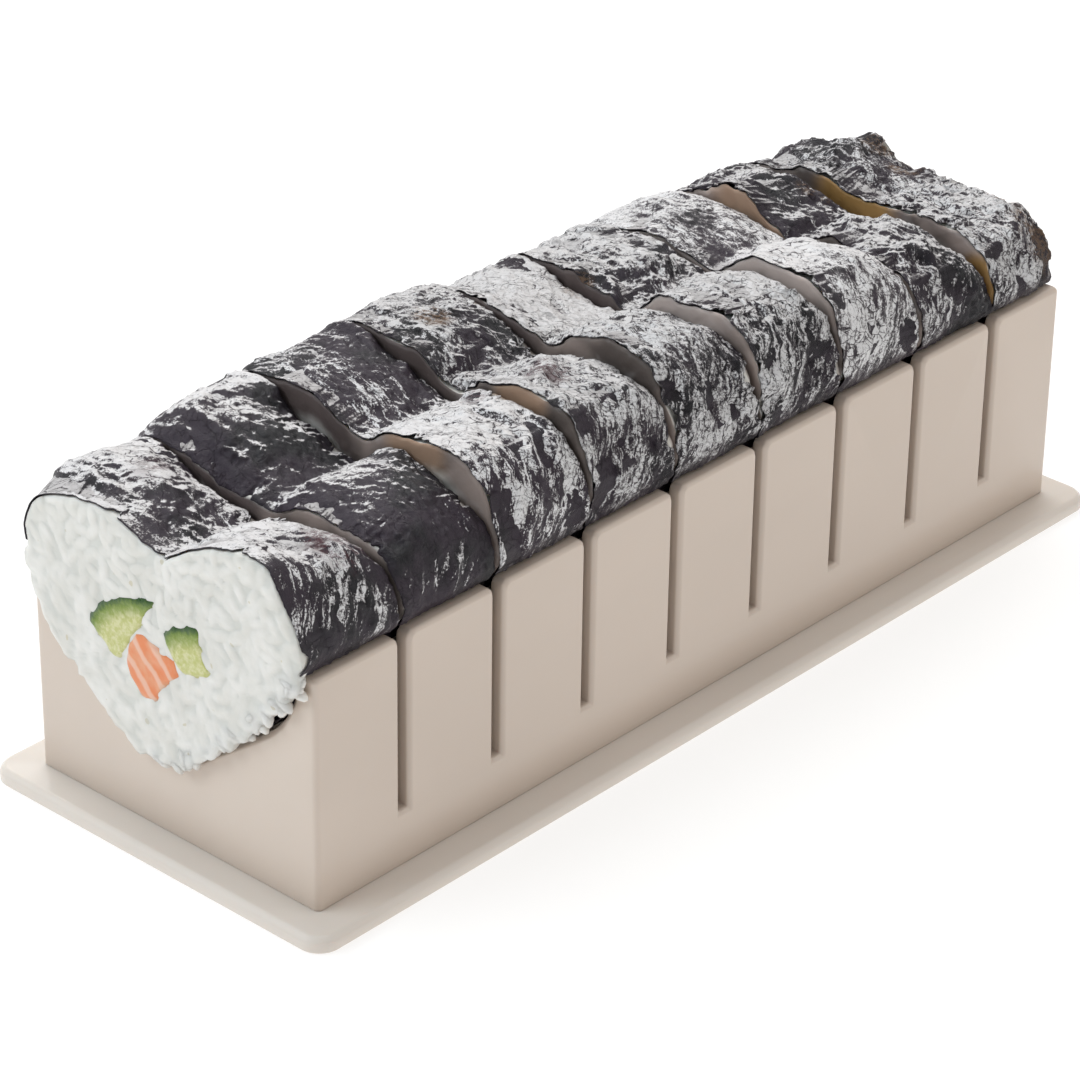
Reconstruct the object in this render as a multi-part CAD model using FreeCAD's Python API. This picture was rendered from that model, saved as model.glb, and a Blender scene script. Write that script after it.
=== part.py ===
import FreeCAD, Part
import math
import os

from FreeCAD import Vector

# A heart-section sushi roll mold on its plate, with a roll in it that is cut into slices.
# Origin: middle of the plate's underside. +X runs along the mold, +Z is up. Millimetres.

# ---- base plate -------------------------------------------------------------------------
plate_thickness = 3.0
plate_end_overhang = 6.6
plate_side_overhang = 6.9
plate_corner_radius = 4.5
plate_edge_chamfer = 1.0
lip_height = 1.0
lip_thickness = 2.0
lip_clearance = 0.3

# ---- mold frame -------------------------------------------------------------------------
frame_length = 205.0
frame_width = 68.9
frame_height = 45.3
frame_wall = 3.2
frame_corner_radius = 1.2
ledge_width = 2.2
ledge_height = 3.0
notch_clearance = 0.5
notch_rim_chamfer = 1.0

# ---- knife slits, the same in the frame and in the trough ---------------------------------
slit_count = 8
slit_from_end = 21.1
slit_width = 2.2
slit_below_heart = 4.7
slit_mouth_radius = 1.8
slit_mouth_flats = 3
rim_chamfer = 0.7

# ---- trough insert ------------------------------------------------------------------------
trough_clearance = 0.4
trough_rim_drop = 4.0
trough_rim_wall = 1.65
trough_side_wall = 2.0
trough_flank_wall = 2.0
trough_keel_wall = 2.4
heart_tip_radius = 3.6
heart_flank_angle = 36.0
heart_shoulder_radius = 18.0
heart_shoulder_drop = 0.3

# ---- the roll -----------------------------------------------------------------------------
roll_clearance = 0.25
roll_front_bulge = 3.0
roll_back_bulge = 0.6
lobe_overhang = 3.8
lobe_radius = 12.8
cut_gap = 0.8
nori_thickness = 0.8
face_spread = 1.6
# heights over the frame's rim of the left lobe, the right lobe and the cleft, front to back
roll_heights = [
    (16.8, 18.5, 10.5),
    (20.0, 18.4, 12.0),
    (21.4, 21.3, 15.4),
    (22.2, 22.5, 16.6),
    (20.8, 22.2, 16.4),
    (19.2, 22.4, 15.8),
    (18.8, 22.2, 15.4),
    (19.6, 18.2, 13.8),
    (18.2, 16.2, 14.6),
]

# ---- fillings: corners of each stick's section, across and up from the heart's tip -----------
cucumber_left_section = [(16.9, 21.2), (12.6, 27.6), (0.6, 32.4), (10.4, 16.2)]
cucumber_right_section = [(-1.4, 26.4), (-3.8, 30.2), (-11.2, 31.4), (-13.4, 22.6), (-5.6, 20.6)]
salmon_section = [(5.0, 22.6), (7.6, 17.0), (4.2, 12.2), (0.4, 12.8), (-4.6, 19.4), (-1.8, 22.6)]

# ---- derived places -----------------------------------------------------------------------
frame_floor = plate_thickness
frame_top = frame_floor + frame_height
half_length = frame_length / 2
half_width = frame_width / 2
inner_half_length = half_length - frame_wall
inner_half_width = half_width - frame_wall
trough_floor = frame_floor + ledge_height
trough_rim = frame_top - trough_rim_drop
trough_half_length = inner_half_length - trough_clearance
trough_half_width = inner_half_width - trough_clearance
heart_slope = math.radians(heart_flank_angle)
heart_half_width = trough_half_width - trough_rim_wall
shoulder_run = heart_shoulder_radius * math.tan((math.pi / 2 - heart_slope) / 2)
heart_tip = frame_top - heart_shoulder_drop - shoulder_run - heart_half_width * math.tan(heart_slope)
heart_low = heart_tip + heart_tip_radius * (1 / math.cos(heart_slope) - 1)
slit_floor = heart_low - slit_below_heart
slit_pitch = (frame_length - 2 * slit_from_end) / (slit_count - 1)
slit_places = [slit_from_end - half_length + slit_pitch * i for i in range(slit_count)]
lobe_half_width = heart_half_width + lobe_overhang
lobe_top_offset = lobe_half_width - lobe_radius
lobe_seat = frame_top + roll_clearance


def box(x0, x1, y0, y1, z0, z1):
    return Part.makeBox(x1 - x0, y1 - y0, z1 - z0, Vector(x0, y0, z0))


def edges_where(shape, test):
    return [edge for edge in shape.Edges if test(edge.BoundBox)]


def upright(bound):
    return bound.ZLength > 1e-3 and bound.XLength < 1e-3 and bound.YLength < 1e-3


def flank(inset):
    """The lower half of the heart on its left side, moved inwards by inset: sizes and (across, up) points."""
    half = heart_half_width - inset
    apex = heart_tip + inset / math.cos(heart_slope)
    tip = heart_tip_radius + inset
    shoulder = heart_shoulder_radius - inset
    tip_across = tip * math.sin(heart_slope)
    return {
        "low": (0, apex + tip * (1 / math.cos(heart_slope) - 1)),
        "tip": (tip_across, apex + tip_across * math.tan(heart_slope)),
        "centre": (half - shoulder, frame_top - heart_shoulder_drop),
        "radius": shoulder,
    }


def shoulder_point(side_shape, share):
    """A point on the shoulder's arc: share 0 is where the flank meets it, share 1 its upright end."""
    turn = (heart_slope - math.pi / 2) * (1 - share)
    centre = side_shape["centre"]
    radius = side_shape["radius"]
    return centre[0] + radius * math.cos(turn), centre[1] + radius * math.sin(turn)


def at(x, point, side=1):
    return Vector(x, side * point[0], point[1])


def trough_space(x0, x1, inset, top):
    """The heart's lower half as a prism, open up to top."""
    shape = flank(inset)
    start, middle, end = [shoulder_point(shape, share) for share in (0, 0.5, 1)]
    edges = [Part.Arc(at(x0, shape["tip"]), at(x0, shape["low"]), at(x0, shape["tip"], -1)).toShape()]
    for side in (-1, 1):
        edges.append(Part.makeLine(at(x0, shape["tip"], side), at(x0, start, side)))
        edges.append(Part.Arc(at(x0, start, side), at(x0, middle, side), at(x0, end, side)).toShape())
        edges.append(Part.makeLine(at(x0, end, side), at(x0, (end[0], top), side)))
    edges.append(Part.makeLine(at(x0, (end[0], top), -1), at(x0, (end[0], top))))
    section = Part.Wire(Part.__sortEdges__(edges))
    return Part.Face(section).extrude(Vector(x1 - x0, 0, 0))


def slit_tools(reach):
    """One upright cut per slit, flared at its mouth so that the frame's tabs have rounded corners."""
    half = slit_width / 2
    low = frame_top - slit_mouth_radius
    right = [(half, slit_floor)]
    for i in range(slit_mouth_flats + 1):
        turn = math.pi / 2 * i / slit_mouth_flats
        flare = slit_mouth_radius * (1 - math.cos(turn))
        right.append((half + flare, low + slit_mouth_radius * math.sin(turn)))
    profile = right + [(-across, up) for across, up in reversed(right)]
    tools = []
    for x in slit_places:
        loop = [Vector(x + across, -reach, up) for across, up in profile]
        tools.append(Part.Face(Part.makePolygon(loop + loop[:1])).extrude(Vector(0, 2 * reach, 0)))
    return tools


def make_base_plate():
    half_x = half_length + plate_end_overhang
    half_y = half_width + plate_side_overhang
    plate = box(-half_x, half_x, -half_y, half_y, 0, plate_thickness)
    plate = plate.makeFillet(plate_corner_radius, edges_where(plate, upright))
    rim = edges_where(plate, lambda b: b.ZMin > plate_thickness - 1e-3)
    plate = plate.makeChamfer(plate_edge_chamfer, rim)
    lip_x = inner_half_length - ledge_width - lip_clearance
    lip_y = inner_half_width - ledge_width - lip_clearance
    lip_top = plate_thickness + lip_height
    lip = box(-lip_x, lip_x, -lip_y, lip_y, plate_thickness, lip_top)
    inside_x = lip_x - lip_thickness
    inside_y = lip_y - lip_thickness
    lip = lip.cut(box(-inside_x, inside_x, -inside_y, inside_y, plate_thickness, lip_top))
    return plate.fuse(lip).removeSplitter()


def make_mold_frame():
    above = frame_top + notch_clearance
    shell = box(-half_length, half_length, -half_width, half_width, frame_floor, frame_top)
    shell = shell.makeFillet(frame_corner_radius, edges_where(shell, upright))
    x = inner_half_length
    y = inner_half_width
    hollow = box(-x, x, -y, y, trough_floor, frame_top)
    ledge_x = x - ledge_width
    ledge_y = y - ledge_width
    foot = box(-ledge_x, ledge_x, -ledge_y, ledge_y, frame_floor, trough_floor)
    shell = shell.cut(hollow.fuse(foot))
    shell = shell.cut(trough_space(-half_length, half_length, -notch_clearance, above))
    shell = shell.cut(Part.makeCompound(slit_tools(half_width)))
    shell = soften_notches(shell)
    return soften_slits(shell)


def soften_slits(shell):
    """Ease the rim and the slits' outer edges on the two long faces."""
    edges = []
    for edge in shell.Edges:
        bound = edge.BoundBox
        outside = abs(abs(bound.Center.y) - half_width) < 1e-3 and bound.YLength < 1e-3
        if outside and bound.ZMin > slit_floor - 1e-3:
            edges.append(edge)
    return shell.makeChamfer(rim_chamfer, edges)


def soften_notches(shell):
    """Ease the outer rims of the heart notches in the two end walls, one end after the other."""
    for end in (-half_length, half_length):
        rims = []
        for edge in shell.Edges:
            bound = edge.BoundBox
            outside = abs(bound.Center.x - end) < 1e-3 and bound.XLength < 1e-3
            lined_up = abs(bound.Center.y) < heart_half_width + notch_clearance
            if outside and lined_up and bound.ZMin > trough_floor:
                rims.append(edge)
        shell = shell.makeChamfer(notch_rim_chamfer, rims)
    return shell


def trough_hollow(side):
    """The space under one flank, between the keel and the outer wall."""
    keel = trough_keel_wall / 2
    wall = trough_half_width - trough_side_wall
    apex = heart_tip - trough_flank_wall / math.cos(heart_slope)
    roof_keel = apex + keel * math.tan(heart_slope)
    roof_wall = apex + wall * math.tan(heart_slope)
    corners = [(keel, trough_floor), (wall, trough_floor), (wall, roof_wall), (keel, roof_keel)]
    section = Part.makePolygon([at(-trough_half_length, c, side) for c in corners + corners[:1]])
    return Part.Face(section).extrude(Vector(2 * trough_half_length, 0, 0))


def make_trough_insert():
    x = trough_half_length
    y = trough_half_width
    block = box(-x, x, -y, y, trough_floor, trough_rim)
    block = block.cut(trough_space(-x, x, 0, frame_top))
    for side in (-1, 1):
        block = block.cut(trough_hollow(side))
    half = slit_width / 2
    for place in slit_places:
        block = block.cut(box(place - half, place + half, -y, y, slit_floor, frame_top))
    return block


def lobe_edges(x, side, inset, crest, cleft):
    """One lobe: an upright side, a quarter circle up to the crest and a flatter arc down to the cleft."""
    wide = lobe_half_width - inset
    reach = wide - lobe_top_offset
    drop = crest - cleft
    fall = (lobe_top_offset ** 2 + drop ** 2) / (2 * drop)
    fall_turn = math.asin(lobe_top_offset / fall) / 2
    half_turn = math.sqrt(0.5)
    seat = (wide, lobe_seat + inset)
    waist = (wide, crest - reach)
    bulge = (lobe_top_offset + reach * half_turn, crest - reach + reach * half_turn)
    top = (lobe_top_offset, crest)
    saddle = (lobe_top_offset - fall * math.sin(fall_turn), crest - fall + fall * math.cos(fall_turn))
    return [
        Part.makeLine(at(x, seat, side), at(x, waist, side)),
        Part.Arc(at(x, waist, side), at(x, bulge, side), at(x, top, side)).toShape(),
        Part.Arc(at(x, top, side), at(x, saddle, side), at(x, (0, cleft))).toShape(),
    ]


def roll_section(x, inset, heights):
    """The roll's section: a heart that fills the trough and laps over the frame's rim with two lobes."""
    left, right, cleft = [frame_top + height - inset for height in heights]
    shape = flank(roll_clearance + inset)
    shoulders = [shoulder_point(shape, share) for share in (0, 1 / 3, 2 / 3, 1)]
    rim = (shoulders[-1][0], lobe_seat + inset)
    lap = (lobe_half_width - inset, lobe_seat + inset)
    lower = [shape["tip"]] + shoulders + [rim, lap]
    edges = [Part.makeLine(at(x, shape["tip"], -1), at(x, shape["tip"]))]
    for side, crest in ((-1, right), (1, left)):
        for low, high in zip(lower, lower[1:]):
            edges.append(Part.makeLine(at(x, low, side), at(x, high, side)))
        edges += lobe_edges(x, side, inset, crest, cleft)
    return Part.Face(Part.Wire(Part.__sortEdges__(edges)))


def roll_body(span, inset, heights):
    return roll_section(span[0], inset, heights).extrude(Vector(span[1] - span[0], 0, 0))


def stick(corners, span):
    """A filling: a straight strip along the roll with a polygon section."""
    loop = [Vector(span[0], y, heart_tip + z) for y, z in corners]
    return Part.Face(Part.makePolygon(loop + loop[:1])).extrude(Vector(span[1] - span[0], 0, 0))


def heights_of(number):
    """The roll's heights at a slice, read off the list by how far along the roll it lies."""
    place = (number - 1) / slit_count * (len(roll_heights) - 1)
    before = min(int(place), len(roll_heights) - 2)
    part = place - before
    pairs = zip(roll_heights[before], roll_heights[before + 1])
    return [a + (b - a) * part for a, b in pairs]


def slice_span(number):
    start = slit_places[number - 2] + cut_gap / 2 if number > 1 else -half_length - roll_front_bulge
    end = slit_places[number - 1] - cut_gap / 2 if number <= slit_count else half_length + roll_back_bulge
    return start, end


def spread_face(nori, rice):
    """The front face's rice swells out over the end wall, and the nori stops short of it there."""
    front = -half_length - roll_front_bulge
    back = -half_length - roll_clearance
    swell = trough_space(front, back, -face_spread, lobe_seat)
    nori = nori.cut(box(front - 1, back, -frame_width, frame_width, frame_floor, lobe_seat))
    return nori, rice.fuse(swell).removeSplitter()


def make_slice(number):
    """Nori wrap, rice core and three filling sticks of one slice, by node name."""
    span = slice_span(number)
    heights = heights_of(number)
    rice = roll_body(span, nori_thickness, heights)
    nori = roll_body(span, 0, heights).cut(rice)
    if number == 1:
        nori, rice = spread_face(nori, rice)
    sticks = {
        "cucumber_left": stick(cucumber_left_section, span),
        "cucumber_right": stick(cucumber_right_section, span),
        "salmon": stick(salmon_section, span),
    }
    for filling in sticks.values():
        rice = rice.cut(filling)
    pieces = {"nori_wrap": nori, "rice_core": rice}
    pieces.update(sticks)
    return {name + "_" + str(number): shape for name, shape in pieces.items()}


def main():
    nodes = {
        "base_plate": make_base_plate(),
        "mold_frame": make_mold_frame(),
        "trough_insert": make_trough_insert(),
    }
    for number in range(1, slit_count + 2):
        nodes.update(make_slice(number))
    os.makedirs("parts", exist_ok=True)
    for name, shape in nodes.items():
        shape.exportStep("parts/" + name + ".step")
        state = "valid" if shape.isValid() else "not valid"
        print(name, len(shape.Solids), "solid", round(shape.Volume), "mm3", state)


main()
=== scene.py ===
import math
import random

import bmesh
import bpy
from mathutils import Matrix, Vector, kdtree, noise


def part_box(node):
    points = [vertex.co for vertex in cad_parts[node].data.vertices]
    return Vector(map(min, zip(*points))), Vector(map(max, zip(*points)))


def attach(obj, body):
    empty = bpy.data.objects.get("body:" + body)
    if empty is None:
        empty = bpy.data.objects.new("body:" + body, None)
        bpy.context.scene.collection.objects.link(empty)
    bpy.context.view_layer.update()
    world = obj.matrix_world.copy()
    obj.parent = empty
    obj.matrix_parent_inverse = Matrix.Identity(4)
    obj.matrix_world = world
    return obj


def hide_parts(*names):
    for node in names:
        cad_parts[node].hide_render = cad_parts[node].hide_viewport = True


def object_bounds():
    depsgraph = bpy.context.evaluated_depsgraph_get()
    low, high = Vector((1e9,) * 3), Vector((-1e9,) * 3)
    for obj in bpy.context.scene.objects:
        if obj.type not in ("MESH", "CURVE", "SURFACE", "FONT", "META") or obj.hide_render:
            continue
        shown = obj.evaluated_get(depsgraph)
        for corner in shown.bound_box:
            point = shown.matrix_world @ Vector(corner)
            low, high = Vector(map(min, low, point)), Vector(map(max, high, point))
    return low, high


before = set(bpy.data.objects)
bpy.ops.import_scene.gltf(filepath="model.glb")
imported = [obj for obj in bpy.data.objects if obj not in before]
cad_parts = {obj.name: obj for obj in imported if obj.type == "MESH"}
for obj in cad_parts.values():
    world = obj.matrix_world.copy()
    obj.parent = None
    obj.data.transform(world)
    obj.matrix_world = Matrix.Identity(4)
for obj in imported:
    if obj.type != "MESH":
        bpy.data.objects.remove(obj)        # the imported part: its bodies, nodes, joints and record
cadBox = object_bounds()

mm = 0.001
scene = bpy.context.scene
noise.seed_set(1)        # noise_vector would follow the clock without it

# The studio: camera, soft lights, pale floor.
studio = {
    "cameraPlace": (-0.5108, -0.4483, 0.3994),
    "cameraAim": (0.6508, 0.5821, -0.4875),
    "cameraUp": (0.3534, 0.3360, 0.8730),
    "lens": 139.0,
    "sensor": 36.0,
    "floorSize": 4.0,
    "floorDrop": 0.0002,
    "floorColour": (0.40, 0.398, 0.395),
    "floorGlow": 1.72,
    "worldColour": (0.985, 0.992, 1.0),
    "worldStrength": 0.40,
    "target": (0.0, 0.0, 0.04),
}
# name: (place, width, height, watts, colour)
lamps = {
    "backWindow": ((0.47, 0.57, 0.88), 1.3, 0.5, 8.5, (1.0, 0.99, 0.98)),
    "keyWindow": ((-0.80, 0.48, 0.80), 0.8, 0.6, 6.4, (0.85, 0.94, 1.0)),
    "overhead": ((0.05, 0.0, 1.15), 0.9, 0.7, 1.5, (1.0, 0.99, 0.98)),
    "sideFill": ((0.70, -1.1, 0.75), 0.9, 0.6, 3.3, (1.0, 0.93, 0.84)),
}


def makeCamera():
    data = bpy.data.cameras.new("camera")
    data.lens = studio["lens"]
    data.sensor_width = studio["sensor"]
    data.clip_start = 0.05
    data.clip_end = 30
    camera = bpy.data.objects.new("camera", data)
    back = -Vector(studio["cameraAim"]).normalized()
    right = Vector(studio["cameraUp"]).cross(back).normalized()
    turn = Matrix((right, back.cross(right), back)).transposed()
    camera.matrix_world = Matrix.Translation(studio["cameraPlace"]) @ turn.to_4x4()
    scene.collection.objects.link(camera)
    scene.camera = camera


def makeLamps():
    for name, (place, width, height, watts, colour) in lamps.items():
        data = bpy.data.lights.new(name, "AREA")
        data.shape = "RECTANGLE"
        data.size = width
        data.size_y = height
        data.energy = watts
        data.color = colour
        lamp = bpy.data.objects.new(name, data)
        lamp.location = place
        aim = Vector(studio["target"]) - Vector(place)
        lamp.rotation_euler = aim.to_track_quat("-Z", "Y").to_euler()
        scene.collection.objects.link(lamp)
    world = bpy.data.worlds.new("paleRoom")
    world.use_nodes = True
    sky = world.node_tree.nodes["Background"]
    sky.inputs["Color"].default_value = (*studio["worldColour"], 1)
    sky.inputs["Strength"].default_value = studio["worldStrength"]
    scene.world = world
    scene.view_settings.view_transform = "Standard"


class Wire:  # a node's output, or a sum made of such outputs
    def __init__(self, finish, socket):
        self.finish = finish
        self.socket = socket

    def join(self, operation, first, second):
        return self.finish.node("ShaderNodeMath", {"operation": operation}, {0: first, 1: second})

    def __add__(self, other):
        return self.join("ADD", self, other)

    def __radd__(self, other):
        return self.join("ADD", other, self)

    def __sub__(self, other):
        return self.join("SUBTRACT", self, other)

    def __rsub__(self, other):
        return self.join("SUBTRACT", other, self)

    def __mul__(self, other):
        return self.join("MULTIPLY", self, other)

    def __rmul__(self, other):
        return self.join("MULTIPLY", other, self)


class Finish:  # one material while it is being put together
    def __init__(self, name):
        self.material = bpy.data.materials.new(name)
        self.material.use_nodes = True
        self.tree = self.material.node_tree
        self.tree.nodes.clear()
        self.place = self.node("ShaderNodeTexCoord", output="Object")

    def node(self, kind, settings=None, sockets=None, output=0):
        made = self.tree.nodes.new(kind)
        for key, value in (settings or {}).items():
            setattr(made, key, value)
        for key, value in (sockets or {}).items():
            if isinstance(value, Wire):
                self.tree.links.new(value.socket, made.inputs[key])
            else:
                made.inputs[key].default_value = value
        return Wire(self, made.outputs[output]) if made.outputs else None

    def grain(self, size, stretch=(1, 1, 1), detail=4, rough=0.55, warp=0.0, turn=(0, 0, 0)):
        # noise whose lumps are about size millimetres, longer along an axis with a larger stretch
        sockets = {"Vector": self.place, "Rotation": turn, "Scale": [mm * size * s for s in stretch]}
        where = self.node("ShaderNodeMapping", {"vector_type": "TEXTURE"}, sockets)
        sockets = {"Vector": where, "Scale": 1.0, "Detail": detail, "Roughness": rough, "Distortion": warp}
        return self.node("ShaderNodeTexNoise", None, sockets)

    def flakes(self, size, stretch, turn, warp):
        # a number for each flake of a scaly skin, and how far a place lies from its flake's edge
        sockets = {"Vector": self.place, "Scale": 0.35 / (mm * size)}
        bend = self.node("ShaderNodeTexNoise", None, sockets, "Color")
        bend = self.node("ShaderNodeVectorMath", {"operation": "SUBTRACT"}, {0: bend, 1: (0.5, 0.5, 0.5)})
        sockets = {0: bend, 1: [warp * size * mm] * 3, 2: self.place}
        bent = self.node("ShaderNodeVectorMath", {"operation": "MULTIPLY_ADD"}, sockets)
        sockets = {"Vector": bent, "Rotation": turn, "Scale": [mm * size * s for s in stretch]}
        where = self.node("ShaderNodeMapping", {"vector_type": "TEXTURE"}, sockets)
        sockets = {"Vector": where, "Scale": 1.0}
        cell = self.node("ShaderNodeTexVoronoi", {"feature": "F1"}, sockets, "Position")
        number = self.node("ShaderNodeTexWhiteNoise", None, {"Vector": cell}, "Value")
        rim = self.node("ShaderNodeTexVoronoi", {"feature": "DISTANCE_TO_EDGE"}, sockets)
        return number, rim

    def ramp(self, value, low, high, start=0.0, end=1.0):
        # takes value from low..high to start..end, with soft ends
        sockets = {"Value": value, 1: low, 2: high, 3: start, 4: end}
        return self.node("ShaderNodeMapRange", {"interpolation_type": "SMOOTHSTEP"}, sockets)

    def mix(self, share, first, second):
        pair = [c if isinstance(c, Wire) else (*c, 1) for c in (first, second)]
        return self.node("ShaderNodeMix", {"data_type": "RGBA"}, {0: share, 6: pair[0], 7: pair[1]}, 2)

    def mark(self, name):
        return self.node("ShaderNodeAttribute", {"attribute_name": name}, None, "Fac")

    def spot(self, centre, radius):
        # 1 near a point of the part, 0 past radius millimetres from it
        sockets = {0: self.place, 1: [c * mm for c in centre]}
        away = self.node("ShaderNodeVectorMath", {"operation": "DISTANCE"}, sockets, "Value")
        return self.ramp(away, radius * 0.5 * mm, radius * mm, 1.0, 0.0)

    def bump(self, height, depth, under=None):
        sockets = {"Height": height, "Distance": depth * mm, "Strength": 1.0}
        if under:
            sockets["Normal"] = under
        return self.node("ShaderNodeBump", None, sockets)

    def surface(self, colour, **sockets):
        named = {key.replace("_", " "): value for key, value in sockets.items()}
        named["Base Color"] = colour if isinstance(colour, Wire) else (*colour, 1)
        shader = self.node("ShaderNodeBsdfPrincipled", None, named)
        self.node("ShaderNodeOutputMaterial", None, {"Surface": shader})
        return self.material


def mouldedPlastic(name, colour, roughness, mirror):
    # smooth moulded plastic with faint flow marks and a little unevenness in its gloss
    finish = Finish(name)
    flow = finish.grain(38, (2.2, 1, 1), 3)
    speck = finish.grain(0.35, detail=2)
    shade = [c * 0.955 for c in colour]
    tone = finish.mix(finish.ramp(flow, 0.3, 0.7), colour, shade)
    haze = finish.grain(9, detail=3)
    gloss = roughness + (haze - 0.5) * 0.07 + (speck - 0.5) * 0.03
    skin = finish.bump(haze, 0.02, finish.bump(speck, 0.004))
    return finish.surface(tone, Roughness=gloss, Normal=skin, Specular_IOR_Level=mirror,
                          Subsurface_Weight=0.1, Subsurface_Scale=0.002, Subsurface_Radius=(1.0, 0.7, 0.5))


def noriSkin(name, settings):
    # dry seaweed: near black, with painted shade in its hollows and where it faces away from the light,
    # painted pale grey sheen where it faces the light from above, and painted silver glints down its flanks
    finish = Finish(name)
    look = noriLook
    # how squarely each place faces the light from above and behind, which sets the painted sheen
    facing = finish.node("ShaderNodeNewGeometry", output="Normal")
    sockets = {0: facing, 1: look["sheenLightWay"]}
    facingLight = finish.node("ShaderNodeVectorMath", {"operation": "DOT_PRODUCT"}, sockets, "Value")
    blur = settings["blur"]
    sizes = {grain: size * settings["size"] for grain, size in look["grainSizes"].items()}
    patch = finish.grain(look["patchSize"], detail=4, rough=0.6, warp=0.6)
    blotch = finish.grain(sizes["blotch"], (3.4, 1, 1), 6, 0.66, 0.35, look["layTurn"])
    fine = finish.grain(sizes["fine"], (1.9, 1, 1), 7, 0.78, 0.3, look["layTurn"])
    grit = finish.grain(look["gritSize"], detail=3, rough=0.7) - 0.5
    fibre = finish.grain(sizes["fibre"], (1, 5.0, 5.0), 6, 0.66, 0.7, look["drapeTurn"])
    hue = finish.grain(look["hueSize"], detail=4, rough=0.6)
    chip, rim = finish.flakes(sizes["flake"], (1, 3.0, 3.0), look["drapeTurn"], 2.0)
    scale, seam = finish.flakes(sizes["flake"], (3.2, 1, 1), look["layTurn"], 2.2)
    speckle = fine - 0.5
    silver = finish.mark("silver") - 0.6
    torn = finish.ramp(rim + speckle * 0.10, -0.01, 0.03)
    # painted shade in the open seams between scales, breaking up the painted sheen and glints
    opened = finish.ramp(fine + (patch - 0.5) * 0.8 + (scale - 0.5) * 0.16, 0.49, 0.58)
    cut = 1 - (1 - finish.ramp(seam + grit * 0.10, 0.0, 0.06)) * opened
    ridge = finish.mark("ridge")
    uneven = (patch - 0.5) * settings["patchy"] + (blotch - 0.5) * settings["blotchy"] + grit * 0.48
    uneven = uneven + (scale - 0.5) * settings["scaly"]
    # painted sheen: pale where the surface faces the light, a little more on crease crests, shifted per lobe
    paintedSheen = finish.ramp(facingLight + finish.mark("sheenShift") + uneven + ridge * 0.06, 0.67 - blur, 0.84 + blur)
    # painted silver glints streaking down the flanks, stronger where the slice's silver mark is high
    flaky = fibre + (chip - 0.5) * 0.14 + silver * 0.24 + (patch - 0.5) * 0.40 + grit * 0.40
    flake = finish.ramp(flaky, 0.51 - blur, 0.61 + blur) * (0.45 + torn * 0.55)
    mottled = (blotch - 0.5) * settings["mottle"] + (scale - 0.5) * settings["scaly"]
    light = paintedSheen * (0.84 + speckle * 1.6 + mottled)
    light = light + flake * (0.80 + speckle * 2.0) * (1 - paintedSheen) + settings["lift"]
    # darker towards the foot: the painted sheen and glints fade out near the rim
    height = finish.node("ShaderNodeSeparateXYZ", None, {"Vector": finish.place}, "Z")
    foot = finish.ramp(height + (fibre - 0.5) * 0.008, *[edge * mm for edge in look["footBand"]])
    light = light * (0.28 + 0.72 * cut) * (1 + grit * 0.75) * (0.35 + 0.65 * foot) + speckle * 0.16
    dark = finish.mix(finish.ramp(hue, 0.38, 0.56), look["black"], look["plum"])
    grey = finish.mix(hue, look["grey"], look["warmGrey"])
    bright = finish.mix(paintedSheen, look["flake"], finish.mix(hue, look["silver"], look["warmSilver"]))
    tone = finish.mix(finish.ramp(light, 0.05, 0.50), dark, grey)
    tone = finish.mix(finish.ramp(light, 0.36, 0.86), tone, bright)
    for colour, spots in look["stains"].items():
        for centre, radius in spots:
            patchy = finish.ramp(fine + (patch - 0.5) * 0.9 + grit * 0.4, 0.48, 0.56)
            tone = finish.mix(finish.spot(centre, radius) * patchy * 0.8, tone, look[colour])
    # painted shade: a plum darkening along the sheet's cut ends and its inner side
    tone = finish.mix(finish.mark("edge") * 0.22, tone, look["plum"])
    gloss = 0.46 + paintedSheen * 0.14 + speckle * 0.4
    deep = settings["depth"]
    skin = finish.bump(torn, 0.08 * deep, finish.bump(scale, 0.13 * deep, finish.bump(cut, 0.12 * deep)))
    skin = finish.bump(fibre, 0.24 * deep, finish.bump(fine, 0.28 * deep, skin))
    return finish.surface(tone, Roughness=gloss, Normal=skin, Specular_IOR_Level=0.38)


def riceFlesh(name):
    # cooked rice: near white and a little translucent, brown near the cut rims where nori lies against it:
    # partly nori stain, partly painted shade of the gaps between slices
    finish = Finish(name)
    look = riceLook
    lump = finish.grain(7, detail=4)
    fine = finish.grain(0.7, detail=3)
    white = finish.mix(finish.ramp(lump, 0.35, 0.65), look["shade"], look["white"])
    fleck = finish.ramp(finish.grain(2.4, detail=1), 0.735, 0.76)
    white = finish.mix(fleck * 0.5, white, look["fleck"])
    cloud = finish.grain(6, detail=2)
    # nori stain and painted shade on the cut faces, in the gaps between slices
    stainShade = finish.mix(finish.ramp(finish.grain(15, detail=2), 0.40, 0.60), look["stainShadeDark"], look["stainShadePale"])
    stainShade = finish.mix(finish.ramp(cloud, 0.55, 0.72) * 0.35, stainShade, look["lilac"])
    for colour, spots in look["stains"].items():
        for centre, radius in spots:
            stainShade = finish.mix(finish.spot(centre, radius) * 0.95, stainShade, look[colour])
    # painted shade in the hollows between grains
    white = finish.mix(finish.mark("hollow") * 0.55, white, look["hollow"])
    tone = finish.mix(finish.mark("stainAndShade"), white, stainShade)
    gloss = 0.42 + (fine - 0.5) * 0.2 + finish.mark("stainAndShade") * 0.22
    skin = finish.bump(fine, 0.05, finish.bump(lump, 0.25))
    return finish.surface(tone, Roughness=gloss, Normal=skin, Subsurface_Weight=0.3,
                          Subsurface_Scale=0.0018, Subsurface_Radius=(1.0, 0.9, 0.8))


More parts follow.
